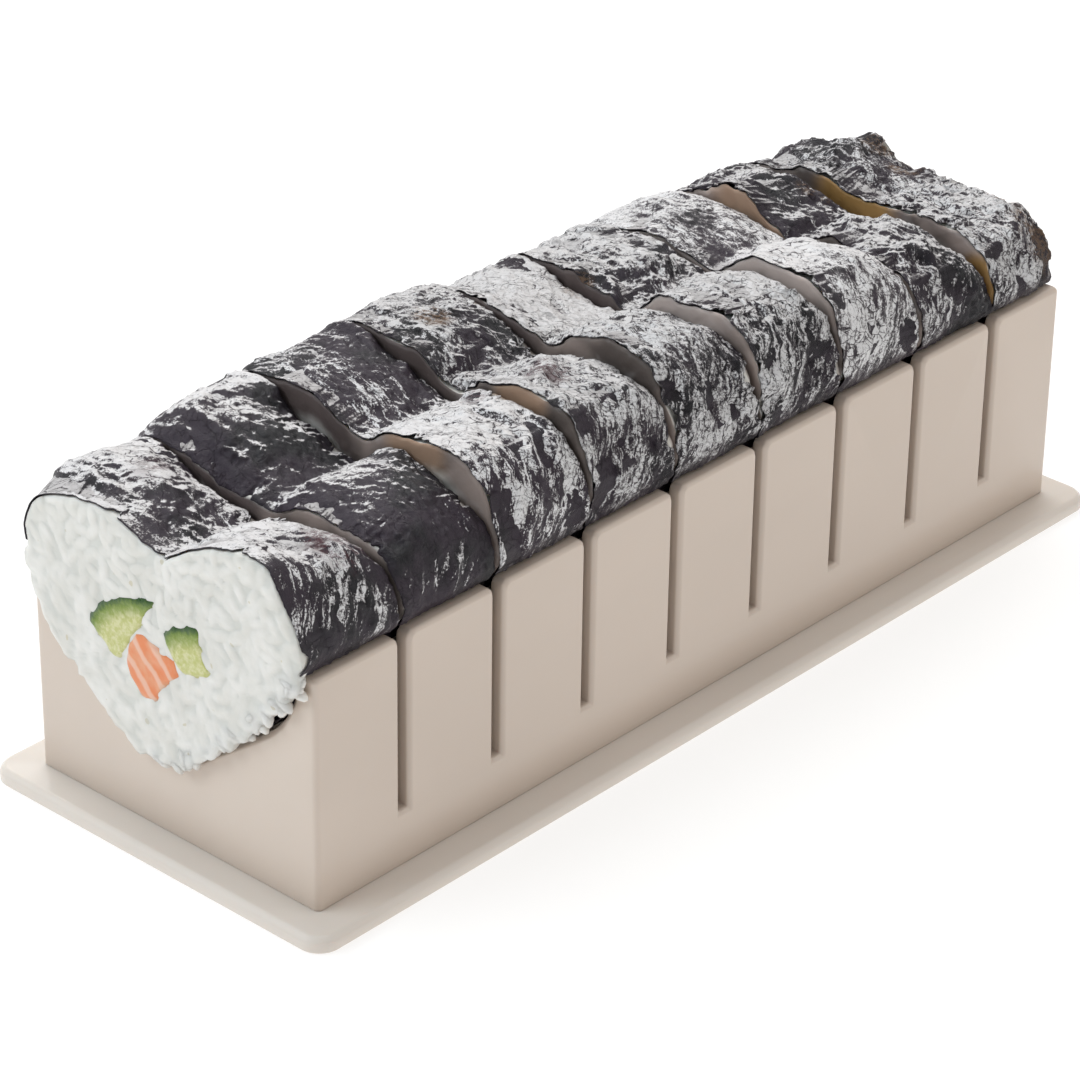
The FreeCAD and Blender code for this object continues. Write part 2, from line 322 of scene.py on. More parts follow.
def cucumberFlesh(name):
    # green rind that fades over pale flesh, with fine strands along the stick
    finish = Finish(name)
    depth = finish.mark("depth")
    streak = finish.grain(0.9, (6, 1, 1), 4)
    near = depth + (streak - 0.5) * 0.30
    flesh = finish.mix(finish.ramp(streak, 0.35, 0.7), (0.50, 0.51, 0.17), (0.66, 0.64, 0.36))
    green = finish.mix(finish.ramp(near, 0.18, 0.80), (0.15, 0.235, 0.010), flesh)
    tone = finish.mix(finish.ramp(near, 0.06, 0.32), (0.018, 0.070, 0.006), green)
    return finish.surface(tone, Roughness=0.24 + streak * 0.12, Normal=finish.bump(streak, 0.12),
                          Subsurface_Weight=0.3, Subsurface_Scale=0.002, Subsurface_Radius=(0.8, 1.0, 0.5))


def salmonFlesh(name):
    # orange flesh in bands, with pale fat between them
    finish = Finish(name)
    band = finish.node("ShaderNodeMapping", None, {"Vector": finish.place, "Rotation": (0.75, 0, 0)})
    sockets = {"Vector": band, "Scale": 85.0, "Distortion": 2.2, "Detail": 3.0, "Detail Scale": 2.0}
    wave = finish.node("ShaderNodeTexWave", {"bands_direction": "Y"}, sockets, "Fac")
    hue = finish.grain(4, detail=3)
    flesh = finish.mix(finish.ramp(hue, 0.35, 0.65), (0.76, 0.235, 0.085), (0.76, 0.335, 0.175))
    tone = finish.mix(finish.ramp(wave, 0.50, 0.95) * 0.7, flesh, (0.80, 0.54, 0.42))
    return finish.surface(tone, Roughness=0.26 + hue * 0.1, Normal=finish.bump(wave, 0.1),
                          Subsurface_Weight=0.35, Subsurface_Scale=0.002, Subsurface_Radius=(1.0, 0.5, 0.35))


def makeFloor():
    bm = bmesh.new()
    bmesh.ops.create_grid(bm, x_segments=1, y_segments=1, size=studio["floorSize"])
    mesh = bpy.data.meshes.new("floor")
    bm.to_mesh(mesh)
    bm.free()
    floor = bpy.data.objects.new("floor", mesh)
    floor.location.z = cadBox[0].z - studio["floorDrop"]
    scene.collection.objects.link(floor)
    finish = Finish("paleFloor")
    pale = studio["floorColour"]
    mesh.materials.append(finish.surface(pale, Roughness=0.95, Emission_Color=(*pale, 1),
                                         Emission_Strength=studio["floorGlow"]))


# Rigid plastic pieces: a merged copy of each solid, its flats made whole again and its edges rounded.
plasticPieces = {
    "base_plate": {"body": "base", "slot": "plate_plastic", "round": 0.35},
    "mold_frame": {"body": "mold", "slot": "frame_plastic", "round": 0.30},
    "trough_insert": {"body": "trough", "slot": "frame_plastic", "round": 0.15},
}
# points within merge millimetres become one, faces within flat degrees become one face,
# and edges that turn by more than corner degrees are rounded
plasticLook = {"merge": 0.002, "flat": 0.5, "corner": 25, "segments": 3}


def makePlasticPiece(node, settings, material):
    look = plasticLook
    bm = bmesh.new()
    bm.from_mesh(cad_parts[node].data)
    bmesh.ops.remove_doubles(bm, verts=bm.verts, dist=look["merge"] * mm)
    bmesh.ops.dissolve_limit(bm, angle_limit=math.radians(look["flat"]), verts=bm.verts, edges=bm.edges)
    for face in bm.faces:
        face.smooth = True
    mesh = bpy.data.meshes.new(node + "_finished")
    bm.to_mesh(mesh)
    bm.free()
    piece = addPiece(node + "_moulded", mesh, material)
    soften = piece.modifiers.new("soften", "BEVEL")
    soften.width = settings["round"] * mm
    soften.segments = look["segments"]
    soften.limit_method = "ANGLE"
    soften.angle_limit = math.radians(look["corner"])
    soften.harden_normals = True
    soften.use_clamp_overlap = True
    rideWith(piece, settings["body"], settings["slot"], node)


def addPiece(name, mesh, material):
    piece = bpy.data.objects.new(name, mesh)
    mesh.materials.clear()
    mesh.materials.append(material)
    scene.collection.objects.link(piece)
    return piece


def rideWith(piece, body, slot, *nodes):
    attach(piece, body)
    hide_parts(*nodes)


# The roll's heart section, in millimetres, with the same sizes as the solids.
heart = {
    "slope": math.radians(36),
    "halfWidth": 28.95,
    "shoulderRadius": 17.75,
    "shoulderHeight": 48.0,
    "tipRadius": 3.85,
    "rim": 48.3,
    "seat": 48.62,
    "seatAcross": 32.2,
    "valley": -2.6,
    "middle": 45.0,
}


def arc(centre, radius, start, end, count=14):
    turns = [start + (end - start) * i / count for i in range(count + 1)]
    return [Vector((centre[0] + radius * math.cos(t), centre[1] + radius * math.sin(t))) for t in turns]


def heartSide():
    # one half of what lies in the trough as (across, up), from the tip up the flank to the rim
    slope = heart["slope"]
    wide = heart["halfWidth"] - heart["shoulderRadius"]
    run = heart["shoulderRadius"] * math.tan((math.pi / 2 - slope) / 2)
    apex = heart["shoulderHeight"] - run - heart["halfWidth"] * math.tan(slope)
    tipCentre = apex + heart["tipRadius"] / math.cos(slope)
    points = arc((0, tipCentre), heart["tipRadius"], -math.pi / 2, slope - math.pi / 2, 4)
    points += arc((wide, heart["shoulderHeight"]), heart["shoulderRadius"], slope - math.pi / 2, 0)
    return points + [Vector((heart["halfWidth"], heart["seat"]))]


# How high the roll stands over the rim: each slice's front end, middle and back end.
humps = {
    "leftOuter": [(16.5, 17.0, 16.0), (15.8, 20.4, 20.0), (20.6, 20.9, 22.4), (22.3, 21.8, 20.8),
                  (20.5, 18.2, 18.6), (18.8, 17.6, 17.2), (17.4, 18.4, 17.0), (17.2, 16.2, 14.6),
                  (14.6, 12.9, 13.0)],
    "leftInner": [(15.3, 15.8, 10.3), (12.9, 19.0, 15.6), (20.2, 21.0, 19.2), (21.6, 22.2, 20.8),
                  (21.0, 19.0, 15.4), (18.8, 19.2, 18.8), (19.2, 19.6, 16.8), (21.4, 18.6, 12.4),
                  (16.4, 18.2, 19.0)],
    "cleft": [(11.1, 10.6, 8.4), (10.9, 12.6, 11.4), (15.6, 16.2, 14.6), (17.2, 17.2, 15.3),
              (18.0, 17.0, 14.6), (16.0, 16.4, 15.4), (16.3, 16.2, 14.4), (15.1, 14.6, 10.8),
              (15.4, 15.2, 14.8)],
    "rightInner": [(17.5, 17.0, 12.4), (14.8, 18.2, 18.0), (20.6, 20.6, 19.4), (21.6, 21.4, 18.6),
                   (21.8, 21.4, 18.7), (21.8, 21.8, 18.9), (21.8, 20.8, 17.2), (17.4, 17.4, 12.2),
                   (16.0, 15.6, 14.6)],
    "rightOuter": [(19.0, 17.6, 12.6), (13.8, 18.0, 14.4), (21.2, 20.8, 18.8), (23.2, 22.2, 18.4),
                   (22.6, 21.8, 18.9), (22.8, 22.2, 19.4), (22.4, 21.0, 17.5), (17.8, 17.2, 10.6),
                   (15.8, 15.4, 15.1)],
}


def humpHeights(slice, share):
    # quick to rise from the front end, level in the middle, quick to fall to the back end
    heights = {}
    for name, rows in humps.items():
        front, middle, back = rows[slice["number"] - 1]
        other = front if share < 0.5 else back
        heights[name] = middle + (other - middle) * abs(2 * share - 1) ** 2.2
    return heights


def humpLine(heights):
    # the roll above the rim as (across, up): left rim, left lobe, cleft, right lobe, right rim
    outer, inner, cleft = heights["leftOuter"], heights["leftInner"], heights["cleft"]
    low = heart["rim"]
    left = [(heart["seatAcross"], heart["seat"]), (33.4, low + 0.36 * outer), (31.6, low + 0.73 * outer),
            (26.8, low + 0.93 * outer), (20.5, low + 0.2 * inner + 0.8 * outer), (13.5, low + inner),
            (7.5, low + inner - 0.28 * (inner - cleft)), (1.8, low + inner - 0.78 * (inner - cleft))]
    outer, inner = heights["rightOuter"], heights["rightInner"]
    right = [(-7.0, low + cleft + 0.62 * (inner - cleft)), (-11.5, low + cleft + 0.95 * (inner - cleft)),
             (-18.5, low + 0.5 * (inner + outer) + 0.2), (-25.5, low + 0.96 * outer),
             (-30.6, low + 0.78 * outer), (-33.4, low + 0.45 * outer), (-33.6, low + 0.2 * outer),
             (-heart["seatAcross"], heart["seat"])]
    return curveThrough([Vector(p) for p in left + [(heart["valley"], low + cleft)] + right])


def evenly(points, count):
    # count points spread evenly along a line of points
    reach = [0.0]
    for a, b in zip(points, points[1:]):
        reach.append(reach[-1] + (b - a).length)
    spread = []
    at = 0
    for i in range(count):
        goal = reach[-1] * i / (count - 1)
        while at < len(points) - 2 and reach[at + 1] < goal:
            at += 1
        span = max(reach[at + 1] - reach[at], 1e-9)
        spread.append(points[at].lerp(points[at + 1], min(1.0, (goal - reach[at]) / span)))
    return spread


def eased(loop, times):
    for _ in range(times):
        loop = [(loop[i - 1] + loop[i] * 2 + loop[(i + 1) % len(loop)]) / 4 for i in range(len(loop))]
    return loop


def closedHeart(upper, around):
    # the whole section as one loop from the tip up the left side, over the cleft and down the right side;
    # most of its points lie above the rim
    below = 2 * (around // 10)
    flank = evenly(heartSide(), below // 2)
    loop = flank + evenly(upper, around - below + 1) + [Vector((-p.x, p.y)) for p in reversed(flank[1:])]
    return eased(loop, 2)


def curveThrough(points, steps=8):
    # a smooth line through a few points
    line = []
    for i in range(len(points) - 1):
        before = points[max(i - 1, 0)]
        after = points[min(i + 2, len(points) - 1)]
        for step in range(steps):
            t = step / steps
            a, b = points[i], points[i + 1]
            line.append(0.5 * ((2 * a) + (b - before) * t + (2 * before - 5 * a + 4 * b - after) * t ** 2
                               + (3 * a - before - 3 * b + after) * t ** 3))
    return line + [points[-1]]


def outwards(loop):
    # the outward direction at each point of a loop that runs from the tip up the left side (+Y) first
    sides = []
    for i in range(len(loop)):
        along = (loop[(i + 1) % len(loop)] - loop[i - 1]).normalized()
        sides.append(Vector((along.y, -along.x)))
    return sides


def smooth(low, high, value):
    t = min(1.0, max(0.0, (value - low) / (high - low)))
    return t * t * (3 - 2 * t)


def readSlice(number, count):
    # where a slice starts and ends along the roll, from the solid, in millimetres
    low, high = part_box("nori_wrap_" + str(number))
    return {"number": number, "count": count, "start": low[0] / mm, "end": high[0] / mm}


def ringEdges(vertices):
    return list({edge for vertex in vertices for edge in vertex.link_edges if len(edge.link_faces) < 2})


def growRings(bm, rings, closing, marks=None):
    # a skin through rings of points: a circle, extruded ring by ring, then joined up or closed at its poles
    spoke = bm.verts.layers.int.new("spoke")
    layers = {name: bm.verts.layers.float.new(name) for name in (marks or {})}
    last = first = bmesh.ops.create_circle(bm, cap_ends=False, segments=len(rings[0]), radius=1)["verts"]
    for index, vertex in enumerate(first):
        vertex[spoke] = index
    for number, ring in enumerate(rings):
        if number:
            grown = bmesh.ops.extrude_edge_only(bm, edges=ringEdges(last))["geom"]
            last = [item for item in grown if isinstance(item, bmesh.types.BMVert)]
        for vertex in last:
            vertex.co = ring[vertex[spoke]]
            for name, layer in layers.items():
                vertex[layer] = marks[name][number][vertex[spoke]]
    if closing == "joined":
        bmesh.ops.bridge_loops(bm, edges=[edge for edge in bm.edges if edge.is_boundary])
    else:
        for pole in (first, last):
            centre = sum((vertex.co for vertex in pole), Vector()) / len(pole)
            bmesh.ops.pointmerge(bm, verts=pole, merge_co=centre)
    bmesh.ops.recalc_face_normals(bm, faces=bm.faces)
    for face in bm.faces:
        face.smooth = True


def placed(x, point):
    # a point of a section, in millimetres, as a place on the part
    return Vector((x * mm, point.x * mm, point.y * mm))


# The nori wrap of every slice.
noriLook = {
    "around": 560,
    "ringStep": 0.38,
    "thickness": 0.45,
    "endThickness": 0.15,
    "endGap": -0.22,
    "freeEndGap": 0.5,
    "ragged": 0.35,
    "tear": 1.5,
    "dent": 0.8,
    "dentSize": 11,
    "wrinkle": 0.5,
    "wrinkleSize": (1.5, 3, 3),
    "bareSize": 7,
    "foldSizes": [17, 13, 10, 8, 6.5, 5.2, 4.2, 3.3, 2.6, 2.0, 1.6],
    "foldHeight": 0.058,
    "foot": 0.9,
    # height band, in millimetres, over which the painted sheen and glints fade out towards the rim
    "footBand": (49.0, 54.0),
    "backTaper": 0.07,
    # below the rim the first slice's nori starts this far behind its swollen face
    "frontHem": 3.2,
    # across the left lobe, where the torn edge of the nori and its painted shade fade out
    "edgeFade": (16, 25),
    "edgeWidth": 0.45,
    # how much painted silver glint each slice's flanks carry, how rough its folds, and which finish it has
    "silverness": [0.50, 0.22, 0.82, 0.94, 0.92, 1.04, 1.15, 0.65, 1.08],
    "rough": [1.0, 1.0, 1.1, 1.2, 1.35, 1.35, 0.9, 1.5, 1.5],
    # how high each slice's loose scales stand, their width, and how they lie on top and down the flanks
    "scales": [0.16, 0.16, 0.26, 0.34, 0.40, 0.40, 0.18, 0.46, 0.46],
    "scaleSize": 1.5,
    "scaleStretch": 2.6,
    "scaleTip": (0.25, 0.35, -0.35),
    "layWay": Vector((0.67, -0.74, 0)),
    "drapeWay": Vector((0.35, 0, 0.94)),
    # more or less painted sheen on each slice's left and right lobe, and where it turns from one to the other
    "sheenShiftTurn": (-11, 7),
    "sheenShift": [(0.07, 0.02), (0.01, -0.08), (-0.15, 0.10), (-0.01, 0.06), (0.42, -0.07), (0.10, 0.09),
             (-0.04, 0.02), (-0.09, 0.05), (-0.18, -0.01)],
    "finishOf": ["silkyNori"] * 3 + ["flakyNori"] * 3 + ["frostedNori"] + ["flakyNori"] * 2,
    "finishes": {
        "silkyNori": {"size": 1.0, "blur": 0.02, "patchy": 0.42, "blotchy": 0.34, "scaly": 0.10,
                      "mottle": 0.9, "lift": 0.0, "depth": 1.0},
        "flakyNori": {"size": 0.72, "blur": 0.06, "patchy": 0.38, "blotchy": 0.14, "scaly": 0.22,
                      "mottle": 0.7, "lift": 0.03, "depth": 1.5},
        "frostedNori": {"size": 0.9, "blur": 0.12, "patchy": 0.35, "blotchy": 0.12, "scaly": 0.10,
                        "mottle": 0.7, "lift": 0.08, "depth": 1.0},
    },
    # sizes of the finish's patterns, in millimetres; grainSizes shrink with the finish's own size
    "patchSize": 9,
    "gritSize": 0.40,
    "hueSize": 17,
    "grainSizes": {"blotch": 2.4, "fine": 0.9, "fibre": 1.05, "flake": 2.1},
    # the way the light comes from, which the painted sheen follows
    "sheenLightWay": (0.24, 0.43, 0.87),
    # how the wrinkles run where the nori lies flat, and where it drapes
    "layTurn": (0, 0, -0.84),
    "drapeTurn": (0, 0.45, 0),
    "black": (0.008, 0.0075, 0.010),
    "plum": (0.029, 0.019, 0.030),
    # colour of the painted glints down the flanks
    "flake": (0.80, 0.795, 0.805),
    "maroon": (0.075, 0.016, 0.022),
    "grey": (0.102, 0.094, 0.104),
    "warmGrey": (0.128, 0.108, 0.110),
    "silver": (0.76, 0.75, 0.755),
    "warmSilver": (0.79, 0.755, 0.745),
    "tan": (0.21, 0.125, 0.07),
    "blush": (0.52, 0.38, 0.34),
    # places on the roll, with a reach, that are stained
    "stains": {
        "maroon": [((-91, 16, 60), 7), ((-88, -24, 63), 8), ((-25, -15, 69), 6), ((-39, -9, 68), 4)],
        "tan": [((100, 9, 67), 5), ((98, 1, 65), 5), ((99, -31, 61), 8), ((76, 6, 65), 5), ((61, 17, 67), 4),
                ((10, 9, 67), 4), ((-24, 14, 70), 5), ((104, -28, 55), 9)],
        "blush": [((104, -20, 63), 6), ((104, -33, 60), 4), ((104, 2, 64), 4)],
    },
}
# The rice at the front, swollen out over the end wall: across, and up from the plate's underside,
# from tip to cleft.
frontFace = {
    "left": [(0.2, 18.9), (7.7, 19.7), (17.4, 26.6), (25.9, 33.2), (31.0, 41.1), (32.9, 47.0),
             (33.0, 53.0), (30.6, 58.4), (26.6, 60.9), (20.2, 62.8), (14.0, 63.6), (8.4, 62.5),
             (3.2, 60.7), (-1.8, 59.4)],
    "right": [(0.2, 18.9), (-4.2, 19.8), (-9.8, 24.2), (-18.4, 30.9), (-25.0, 38.2), (-30.1, 43.6),
              (-34.0, 50.8), (-32.7, 56.9), (-28.9, 63.0), (-25.9, 66.9), (-20.8, 67.5), (-14.9, 66.4),
              (-9.0, 63.9), (-1.8, 59.4)],
    "reach": 9.0,
}


def frontLoop(around):
    # the front face's outline, with its points shared out above and below the rim as in the other sections
    below = 2 * (around // 10)
    halves = [curveThrough([Vector(point) for point in frontFace[side]]) for side in ("left", "right")]
    lows = [[p for p in half if p.y < heart["seat"]] for half in halves]
    highs = [[p for p in half if p.y >= heart["seat"]] for half in halves]
    flanks = [evenly(low, below // 2) for low in lows]
    top = evenly(highs[0] + highs[1][-2::-1], around - below + 1)
    return eased(flanks[0] + top + flanks[1][:0:-1], 2)


def scaleHeight(place, long):
    # scales of dry nori, from -1 to 1: each lies higher or lower than its neighbours,
    # and tips along its length
    look = noriLook
    narrow = place - long * place.dot(long) * (1 - 1 / look["scaleStretch"])
    narrow = (narrow + noise.noise_vector(narrow / 3.5) * 0.9) / look["scaleSize"]
    cell = noise.voronoi(narrow)[1][0]
    return 0.6 * noise.cell(cell * 9) + (narrow - cell).dot(look["scaleTip"])


class Crumple:  # creases of a slice's nori: triangle waves laid every which way, bent by slow noise
    def __init__(self, seed, rough, scales):
        dice = random.Random(seed)
        self.rough = rough
        self.scales = scales
        self.folds = []
        for size in noriLook["foldSizes"]:
            lean = dice.uniform(-0.95, 0.95)
            roll = dice.uniform(0, 2 * math.pi)
            across = math.sin(lean)
            way = Vector((math.cos(lean), across * math.cos(roll), across * math.sin(roll)))
            self.folds.append((way / size, dice.random(), size * noriLook["foldHeight"]))

    def height(self, place):
        bend = noise.noise(place / 13) * 0.8 + noise.noise(place / 5) * 0.25
        strength = 0.55 + 0.9 * noise.noise(place / 8 + Vector((31, 0, 0)))
        total = 0.0
        for way, start, height in self.folds:
            turn = place.dot(way) + start + bend
            total += (abs((turn % 1.0) * 2 - 1) - 0.5) * height
        return total * max(0.25, strength)


def crinkle(x, point, side, crumple):
    # how far dry nori stands out or in at a place on the roll, in millimetres
    look = noriLook
    place = Vector((x, point.x, point.y))
    dent = noise.noise(place / look["dentSize"])
    where = Vector([at / size for at, size in zip(place, look["wrinkleSize"])])
    wrinkle = 0.4 - noise.turbulence(where, 3, True)
    lying = smooth(0.35, 0.75, side.y)
    scales = lying * scaleHeight(place, look["layWay"]) if lying else 0.0
    if lying < 1:
        scales += (1 - lying) * scaleHeight(place, look["drapeWay"])
    bare = smooth(-0.25, 0.25, noise.noise(place / look["bareSize"] + Vector((0, 9, 0))))
    out = crumple.rough * (crumple.height(place) + wrinkle * look["wrinkle"])
    return dent * look["dent"] + out + crumple.scales * scales * bare


def sectionLoop(slice, share, around):
    # the outside of the nori at a share of the way along a slice
    look = noriLook
    x = slice["start"] + (slice["end"] - slice["start"]) * share
    loop = closedHeart(humpLine(humpHeights(slice, share)), around)
    sides = outwards(loop)
    front = 0.0
    if slice["number"] == 1:
        front = 1 - smooth(0, frontFace["reach"], x - slice["start"])
        face = frontLoop(around)
        faceSides = outwards(face)
    shaped = []
    for i, point in enumerate(loop):
        above = smooth(heart["seat"] - 0.5, heart["seat"] + 4, point.y)
        out = crinkle(x, point, sides[i], slice["crumple"]) * (0.06 + 0.94 * above)
        at = point + sides[i] * out
        if front and above:
            edge = face[i] + faceSides[i] * (0.4 + 0.25 * crinkle(x, face[i], faceSides[i], slice["crumple"]))
            at = at.lerp(edge, front * above)
        if slice["number"] == slice["count"] and at.x < 0:
            at.x *= 1 - noriLook["backTaper"] * smooth(0.55, 1, share) * above
        if abs(at.x) > heart["halfWidth"] + 1 and at.y < heart["seat"] + 3 and point.y > heart["seat"] - 0.3:
            foot = noise.fractal(Vector((x / 2.6, slice["number"] * 5.3, point.x)), 0.8, 2, 3) * look["foot"]
            at.x += math.copysign(foot * (1 - smooth(0, 3, point.y - heart["seat"])), at.x)
            at.y = max(at.y, heart["seat"])
        shaped.append(at)
    return eased(shaped, 1)


def makeNori(slice, material):
    look = noriLook
    steps = round((slice["end"] - slice["start"]) / look["ringStep"])
    rings = []
    silvers = []
    edges = []
    ridges = []
    sheenShifts = []
    left, right = look["sheenShift"][slice["number"] - 1]
    gaps = [look["freeEndGap" if slice["number"] == last else "endGap"] for last in (1, slice["count"])]
    for step in range(steps + 1):
        share = step / steps
        ring = []
        for point in sectionLoop(slice, share, look["around"]):
            where = Vector((slice["number"] * 9.1, point.x / 2.5, point.y / 2.5))
            tatter = look["ragged"] * max(0.0, 0.5 + noise.fractal(where, 0.8, 2, 4))
            torn = smooth(0.18, 0.42, noise.noise(where * 0.45)) * (0.6 + noise.noise(where * 2.5))
            tatter += look["tear"] * torn
            tatter *= 1 - 0.85 * smooth(*look["edgeFade"], point.x)
            start = slice["start"] + tatter + gaps[0]
            end = slice["end"] - 1.2 * tatter - gaps[1]
            if slice["number"] == 1:
                start += look["frontHem"] * (1 - smooth(heart["seat"], heart["seat"] + 1.5, point.y))
            ring.append((start + (end - start) * share, point))
        rings.append(ring)
        near = min(share, 1 - share) * (slice["end"] - slice["start"])
        dark = 1 - smooth(0, look["edgeWidth"], near)
        # painted shade along the cut ends, fading out across the left lobe
        edges.append([dark * (1 - smooth(*look["edgeFade"], point.x)) for _, point in ring])
        silvers.append([silverAt(slice, x, point) for x, point in ring])
        ridges.append([slice["crumple"].height(Vector((x, point.x, point.y))) for x, point in ring])
        # how much the painted sheen is shifted, from the right lobe to the left
        sheenShifts.append([right + (left - right) * smooth(*look["sheenShiftTurn"], point.x) for _, point in ring])
    for step in (steps, 2 * steps // 3, steps // 3, 0):
        thickness = look["thickness"] if 0 < step < steps else look["endThickness"]
        sides = outwards([point for _, point in rings[step]])
        rings.append([(x, point - side * thickness) for (x, point), side in zip(rings[step], sides)])
        silvers.append([0.0] * look["around"])
        ridges.append([0.0] * look["around"])
        sheenShifts.append([0.0] * look["around"])
        edges.append([1.0] * look["around"])
    bm = bmesh.new()
    places = [[placed(x, point) for x, point in ring] for ring in rings]
    growRings(bm, places, "joined", {"silver": silvers, "edge": edges, "ridge": ridges, "sheenShift": sheenShifts})
    number = str(slice["number"])
    finishSkin(bm, "nori_sheet_" + number, material, "slice_" + number, "nori", "nori_wrap_" + number)


def silverAt(slice, x, point):
    # flanks carry the slice's own share of painted silver glints, uneven from place to place
    cloud = noise.noise(Vector((x / 12, point.x / 12, point.y / 12)))
    return noriLook["silverness"][slice["number"] - 1] + cloud * 0.5 - 0.45 * smooth(-6, 0, point.x)


def finishSkin(bm, name, material, body, slot, *nodes):
    mesh = bpy.data.meshes.new(name)
    bm.to_mesh(mesh)
    bm.free()
    piece = addPiece(name, mesh, material)
    rideWith(piece, body, slot, *nodes)
    return piece


# The rice core of every slice. The first one has a finer face, with its grains showing at the rim.
riceLook = {
    "around": 240,
    "faceRings": 26,
    "frontAround": 440,
    "frontRings": 64,
    # rings of the wall under the nori: share of the way along, and how much deeper than at the cut
    "wallRings": [(0, 0), (0.03, 0.3), (0.08, 0.8), (0.2, 1.1), (0.5, 1.1), (0.8, 1.1), (0.92, 0.8),
                  (0.97, 0.3), (1, 0)],
    "inside": 0.45,
    "grainLength": 2.7,
    "grainWidth": 1.15,
    "grainGap": 2.6,
    "grainRows": (-14, 15),
    "grainColumns": (-10, 14),
    "relief": 0.32,
    # how deep a face lies at its rim and further in, how round its rim is, and how far in its nori stain and
    # painted shade reach
    "faces": {
        "front": {"rim": 0.45, "deep": 0.45, "round": 0.35, "stainAndShade": 0.0},
        "cut": {"rim": 0.10, "deep": 0.45, "round": 0.10, "stainAndShade": 9.5},
        "back": {"rim": 0.45, "deep": 0.45, "round": 0.35, "stainAndShade": 4.5},
    },
    # the swollen slab: its rings behind the front face, and how far it stands off the end wall
    "slabDepths": (0.0, 0.9, 1.5),
    "slabGap": 0.3,
    "looseGrains": 36,
    "grainsFrom": 2.0,
    "white": (0.80, 0.78, 0.74),
    "shade": (0.71, 0.69, 0.64),
    "fleck": (0.52, 0.43, 0.22),
    # colour of the painted shade between grains
    "hollow": (0.56, 0.57, 0.53),
    "stainShadeDark": (0.095, 0.075, 0.066),
    "stainShadePale": (0.30, 0.24, 0.215),
    "lilac": (0.40, 0.37, 0.37),
    "tan": (0.36, 0.235, 0.16),
    "amber": (0.34, 0.19, 0.055),
    "pale": (0.46, 0.39, 0.36),
    "dark": (0.092, 0.068, 0.064),
    # places on the cuts, with a reach, where the stain and painted shade has a tone of its own
    "stains": {
        # dark: painted shade on the cuts under the left lobes
        "dark": [((-81.4, 14, 62), 20), ((-58.1, 16, 64), 20), ((-34.9, 14, 67), 20), ((-11.6, 14, 68), 20),
                 ((11.6, 14, 67), 18), ((104, 0, 60), 30)],
        "tan": [((-57.7, -14, 67), 9), ((-34.5, -17, 70), 8), ((58.5, 8, 66), 12)],
        "pale": [((11.6, -14, 67), 13), ((34.9, -16, 67), 17)],
        "amber": [((82, 1, 62), 12), ((82, -30, 55), 7)],
    },
}


class GrainBed:  # rice grains lying every way in the plane of a cut
    def __init__(self, seed):
        dice = random.Random(seed)
        self.grains = []
        span = riceLook["grainGap"]
        for row in range(*riceLook["grainRows"]):
            for column in range(*riceLook["grainColumns"]):
                across = (row + dice.uniform(-0.45, 0.45)) * span
                centre = Vector((across, heart["middle"] + (column + dice.uniform(-0.45, 0.45)) * span))
                turn = dice.uniform(0, math.pi)
                self.grains.append((centre, math.cos(turn), math.sin(turn), dice.uniform(0.75, 1.0)))
        self.tree = kdtree.KDTree(len(self.grains))
        for index, grain in enumerate(self.grains):
            self.tree.insert((grain[0].x, grain[0].y, 0), index)
        self.tree.balance()

    def height(self, point):
        # 0 between grains, up to 1 on the back of one
        best = 0.0
        for _, index, _ in self.tree.find_n((point.x, point.y, 0), 5):
            centre, c, s, size = self.grains[index]
            away = point - centre
            along = (away.x * c + away.y * s) / riceLook["grainLength"]
            across = (away.y * c - away.x * s) / riceLook["grainWidth"]
            rest = 1 - along * along - across * across
            if rest > 0:
                best = max(best, math.sqrt(rest) * size)
        return best


def faceRings(rim, x, facing, count, bed, face):
    # rings over a cut face, from near its middle out to the rim;
    # facing is -1 at the front end and 1 at the back
    look = riceLook
    centre = Vector((0, heart["middle"]))
    rings = []
    stains = []
    hollows = []
    for step in range(count):
        share = 0.02 + 0.98 * (step / (count - 1)) ** 0.9
        ring = []
        stainAndShade = []
        hollow = []
        for edge in rim:
            at = centre.lerp(edge, share)
            margin = (edge - centre).length * (1 - share)
            inner = smooth(1.0, 5, margin)
            curl = (1 - smooth(0, 1.6, margin)) ** 2 * face["round"]
            grain = bed.height(at)
            # how deep in a hollow between grains, for its painted shade
            hollow.append(1 - grain)
            relief = grain * look["relief"] * (0.25 + 0.75 * inner if face["stainAndShade"] else 1)
            depth = face["rim"] + (face["deep"] - face["rim"]) * inner
            ring.append((x - facing * (depth + curl - relief), at))
            reach = margin + noise.noise(Vector((at.x, at.y, x)) / 5) * 1.4
            # a band round the cut face's rim, partly nori stain and partly painted shade of the gap between
            # slices
            band = 1 - smooth(face["stainAndShade"] * 0.55, face["stainAndShade"], reach) if face["stainAndShade"] else 0.0
            stainAndShade.append(band * smooth(heart["seat"] - 8, heart["seat"] + 2, at.y))
        rings.append(ring)
        stains.append(stainAndShade)
        hollows.append(hollow)
    return rings, stains, hollows


